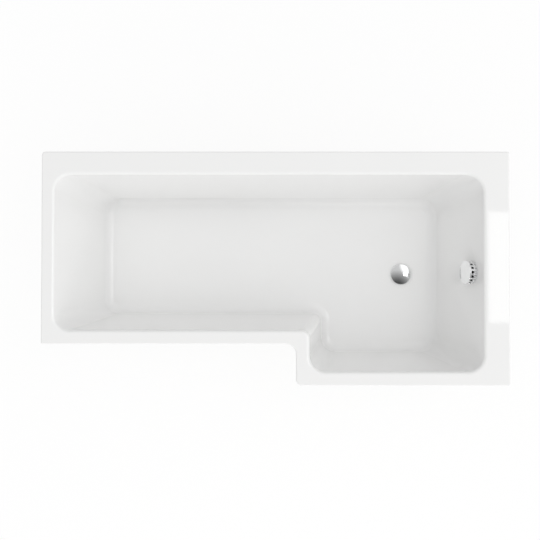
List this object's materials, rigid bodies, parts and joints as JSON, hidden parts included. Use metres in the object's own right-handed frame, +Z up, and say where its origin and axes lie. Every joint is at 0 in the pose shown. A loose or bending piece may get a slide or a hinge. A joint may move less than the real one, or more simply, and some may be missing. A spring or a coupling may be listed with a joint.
{
  "type": "l-shaped shower bath",
  "caption": "L-shaped acrylic bath with a wide showering end, on adjustable leg frames, with a knob-worked pop-up waste and overflow.",
  "frame": {"origin": "on the bathroom floor under the middle of the rim's bounding box, feet at mid travel", "axes": "+X along the bath from the head end to the tap end, +Y from the open side to the wall, +Z up"},
  "size_m": [1.7, 0.85, 0.54],
  "materials": {
    "acrylic_white": "high gloss cast acrylic",
    "glassfibre": "sprayed glass fibre and polyester resin, rough",
    "chipboard": "raw chipboard sealed with resin",
    "timber": "sawn softwood",
    "galvanised_steel": "galvanised sheet steel",
    "zinc_steel": "bright zinc plate",
    "stainless_pin": "turned stainless steel",
    "chrome_plate": "polished chrome plate",
    "brass_turned": "turned brass",
    "black_rubber": "moulded rubber",
    "black_plastic": "moulded polypropylene",
    "grey_plastic": "moulded acetal",
    "hose_plastic": "ribbed flexible plastic",
    "cable_sheath": "extruded plastic sheath",
    "foot_plastic": "moulded nylon"
  },
  "bodies": {
    "bath": {"bath_shell": "acrylic_white", "glassfibre_backing": "glassfibre", "base_board": "chipboard", "rail_screws": "zinc_steel", "foot_lock_nuts": "zinc_steel", "wall_brackets": "galvanised_steel", "bracket_screws": "zinc_steel", "overflow_hose": "hose_plastic", "hose_nut_lower": "black_plastic", "hose_nut_upper": "black_plastic", "hose_washers": "black_rubber", "pull_cable": "cable_sheath", "waste_flange": "chrome_plate", "waste_flange_seal": "black_rubber", "waste_body_seal": "black_rubber", "waste_body": "black_plastic", "lever_cover": "grey_plastic", "overflow_grille": "chrome_plate", "overflow_seal": "black_rubber", "overflow_body": "black_plastic", "batten_back": "timber", "batten_head_end": "timber", "batten_tap_end": "timber", "batten_front": "timber", "batten_step": "timber", "batten_shower_front": "timber", "leg_rail_head": "galvanised_steel", "leg_rail_middle": "galvanised_steel", "leg_rail_shower": "galvanised_steel"},
    "knob": {"overflow_knob": "chrome_plate", "knob_spindle": "brass_turned", "cable_drum": "grey_plastic", "spindle_clip": "stainless_pin"},
    "lever": {"lift_lever": "grey_plastic", "lever_axle": "stainless_pin", "axle_crank": "grey_plastic"},
    "plug": {"plug_cap": "chrome_plate", "plug_stem": "brass_turned", "plug_seal": "black_rubber"},
    "foot_head_front": {"foot_stud_head_front": "zinc_steel", "foot_pad_head_front": "foot_plastic"},
    "foot_head_back": {"foot_stud_head_back": "zinc_steel", "foot_pad_head_back": "foot_plastic"},
    "foot_middle_front": {"foot_stud_middle_front": "zinc_steel", "foot_pad_middle_front": "foot_plastic"},
    "foot_middle_back": {"foot_stud_middle_back": "zinc_steel", "foot_pad_middle_back": "foot_plastic"},
    "foot_shower_front": {"foot_stud_shower_front": "zinc_steel", "foot_pad_shower_front": "foot_plastic"},
    "foot_shower_back": {"foot_stud_shower_back": "zinc_steel", "foot_pad_shower_back": "foot_plastic"}
  },
  "joints": [
    {"name": "knob_turn", "type": "hinge", "parent": "bath", "child": "knob", "pos_m": [0.72946, -0.0125, 0.44939], "axis": [-0.9538, 0, 0.3004], "range_deg": [0, 90]},
    {"name": "lever_swing", "type": "hinge", "parent": "bath", "child": "lever", "pos_m": [0.486, -0.0125, 0.0955], "axis": [0, -1, 0], "range_deg": [0, 50]},
    {"name": "plug_lift", "type": "slide", "parent": "bath", "child": "plug", "axis": [0, 0, 1], "range_m": [0, 0.01183]},
    {"name": "foot_screw_head_front", "type": "slide", "parent": "bath", "child": "foot_head_front", "axis": [0, 0, -1], "range_m": [-0.015, 0.03]},
    {"name": "foot_screw_head_back", "type": "slide", "parent": "bath", "child": "foot_head_back", "axis": [0, 0, -1], "range_m": [-0.015, 0.03]},
    {"name": "foot_screw_middle_front", "type": "slide", "parent": "bath", "child": "foot_middle_front", "axis": [0, 0, -1], "range_m": [-0.015, 0.03]},
    {"name": "foot_screw_middle_back", "type": "slide", "parent": "bath", "child": "foot_middle_back", "axis": [0, 0, -1], "range_m": [-0.015, 0.03]},
    {"name": "foot_screw_shower_front", "type": "slide", "parent": "bath", "child": "foot_shower_front", "axis": [0, 0, -1], "range_m": [-0.015, 0.03]},
    {"name": "foot_screw_shower_back", "type": "slide", "parent": "bath", "child": "foot_shower_back", "axis": [0, 0, -1], "range_m": [-0.015, 0.03]}
  ],
  "couplings": [
    {"joint": "lever_swing", "follows": "knob_turn", "ratio": 0.55556},
    {"joint": "plug_lift", "follows": "knob_turn", "m_per_rad": 0.0075333}
  ]
}
